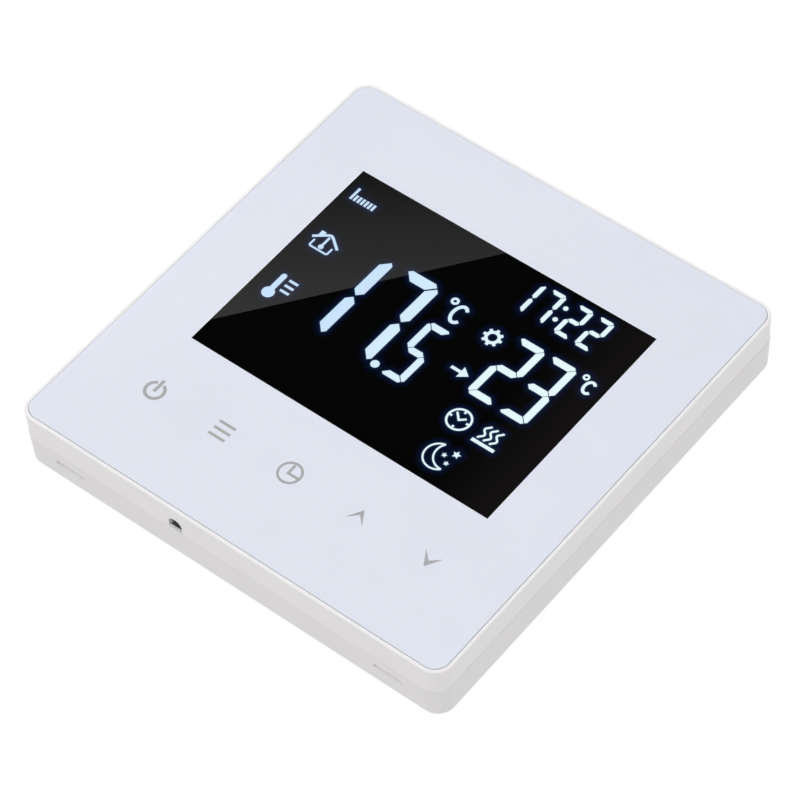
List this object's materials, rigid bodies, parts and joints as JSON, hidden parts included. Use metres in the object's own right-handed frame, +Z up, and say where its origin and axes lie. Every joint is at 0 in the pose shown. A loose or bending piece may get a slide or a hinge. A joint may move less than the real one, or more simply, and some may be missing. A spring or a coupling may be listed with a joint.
{
  "type": "wall thermostat",
  "caption": "Flat, nearly square wall thermostat: white glass front, black display and touch keys on a pull-off front unit, and a rear insert with screw terminals.",
  "frame": {"origin": "centre of the wall-screw pattern, on the face that lies on the wall", "axes": "+X right and +Z up as seen from the room, +Y into the wall; the front faces -Y"},
  "size_m": [0.086, 0.0383, 0.0884],
  "materials": {
    "cover_plastic": "white ABS, satin",
    "base_plastic": "white ABS, fine satin",
    "front_glass": "glass printed white on its back, with a clear window",
    "lcd_black": "black display glass",
    "frame_plastic": "white plastic",
    "guide_acrylic": "clear acrylic",
    "lamp_case": "pale lamp case",
    "board": "green board lacquer",
    "pad_foam": "dark conductive foam",
    "black_plastic": "black moulding",
    "sensor_epoxy": "black epoxy bead",
    "contact_brass": "plated brass",
    "zinc_steel": "zinc-plated sheet",
    "screw_steel": "zinc-plated steel",
    "cage_steel": "nickel-plated steel",
    "relay_case": "black relay case",
    "transformer_tape": "yellow winding tape",
    "film_case": "yellow film capacitor case",
    "can_sleeve": "dark sleeve",
    "varistor_coat": "blue coating",
    "fuse_case": "brown case",
    "terminal_plastic": "grey polyamide"
  },
  "bodies": {
    "base": {"rear_base": "base_plastic", "mounting_plate": "zinc_steel", "mounting_plate_screws": "screw_steel", "power_board": "board", "power_board_screws": "screw_steel", "socket_header": "black_plastic", "relay": "relay_case", "transformer": "transformer_tape", "suppression_capacitor": "film_case", "electrolytic_capacitors": "can_sleeve", "varistor": "varistor_coat", "fuse": "fuse_case", "power_chip": "black_plastic", "terminal_block": "terminal_plastic", "terminal_contacts": "contact_brass"},
    "front_unit": {"front_cover": "cover_plastic", "front_glass": "front_glass", "lcd_panel": "lcd_black", "lcd_frame": "frame_plastic", "light_guide": "guide_acrylic", "backlight_lamps": "lamp_case", "display_board": "board", "display_board_screws": "screw_steel", "touch_pads": "pad_foam", "controller_chip": "black_plastic", "room_sensor": "sensor_epoxy", "header_body": "black_plastic", "header_pins": "contact_brass"},
    "screw_1": {"terminal_screw_1": "screw_steel"},
    "cage_1": {"terminal_cage_1": "cage_steel"},
    "screw_2": {"terminal_screw_2": "screw_steel"},
    "cage_2": {"terminal_cage_2": "cage_steel"},
    "screw_3": {"terminal_screw_3": "screw_steel"},
    "cage_3": {"terminal_cage_3": "cage_steel"},
    "screw_4": {"terminal_screw_4": "screw_steel"},
    "cage_4": {"terminal_cage_4": "cage_steel"},
    "screw_5": {"terminal_screw_5": "screw_steel"},
    "cage_5": {"terminal_cage_5": "cage_steel"},
    "screw_6": {"terminal_screw_6": "screw_steel"},
    "cage_6": {"terminal_cage_6": "cage_steel"}
  },
  "joints": [
    {"name": "front_release", "type": "slide", "parent": "base", "child": "front_unit", "axis": [0, -1, 0], "range_m": [0, 0.02]},
    {"name": "screw_1_turn", "type": "hinge", "parent": "base", "child": "screw_1", "pos_m": [-0.01875, 0.0259, -0.0169], "axis": [0, -1, 0], "range_deg": [0, 1800]},
    {"name": "cage_1_rise", "type": "slide", "parent": "base", "child": "cage_1", "axis": [0, 1, 0], "range_m": [0, 0.0025]},
    {"name": "screw_2_turn", "type": "hinge", "parent": "base", "child": "screw_2", "pos_m": [-0.01125, 0.0259, -0.0169], "axis": [0, -1, 0], "range_deg": [0, 1800]},
    {"name": "cage_2_rise", "type": "slide", "parent": "base", "child": "cage_2", "axis": [0, 1, 0], "range_m": [0, 0.0025]},
    {"name": "screw_3_turn", "type": "hinge", "parent": "base", "child": "screw_3", "pos_m": [-0.00375, 0.0259, -0.0169], "axis": [0, -1, 0], "range_deg": [0, 1800]},
    {"name": "cage_3_rise", "type": "slide", "parent": "base", "child": "cage_3", "axis": [0, 1, 0], "range_m": [0, 0.0025]},
    {"name": "screw_4_turn", "type": "hinge", "parent": "base", "child": "screw_4", "pos_m": [0.00375, 0.0259, -0.0169], "axis": [0, -1, 0], "range_deg": [0, 1800]},
    {"name": "cage_4_rise", "type": "slide", "parent": "base", "child": "cage_4", "axis": [0, 1, 0], "range_m": [0, 0.0025]},
    {"name": "screw_5_turn", "type": "hinge", "parent": "base", "child": "screw_5", "pos_m": [0.01125, 0.0259, -0.0169], "axis": [0, -1, 0], "range_deg": [0, 1800]},
    {"name": "cage_5_rise", "type": "slide", "parent": "base", "child": "cage_5", "axis": [0, 1, 0], "range_m": [0, 0.0025]},
    {"name": "screw_6_turn", "type": "hinge", "parent": "base", "child": "screw_6", "pos_m": [0.01875, 0.0259, -0.0169], "axis": [0, -1, 0], "range_deg": [0, 1800]},
    {"name": "cage_6_rise", "type": "slide", "parent": "base", "child": "cage_6", "axis": [0, 1, 0], "range_m": [0, 0.0025]}
  ],
  "couplings": [
    {"joint": "screw_1_turn", "follows": "cage_1_rise", "rad_per_m": 12566},
    {"joint": "screw_2_turn", "follows": "cage_2_rise", "rad_per_m": 12566},
    {"joint": "screw_3_turn", "follows": "cage_3_rise", "rad_per_m": 12566},
    {"joint": "screw_4_turn", "follows": "cage_4_rise", "rad_per_m": 12566},
    {"joint": "screw_5_turn", "follows": "cage_5_rise", "rad_per_m": 12566},
    {"joint": "screw_6_turn", "follows": "cage_6_rise", "rad_per_m": 12566}
  ]
}
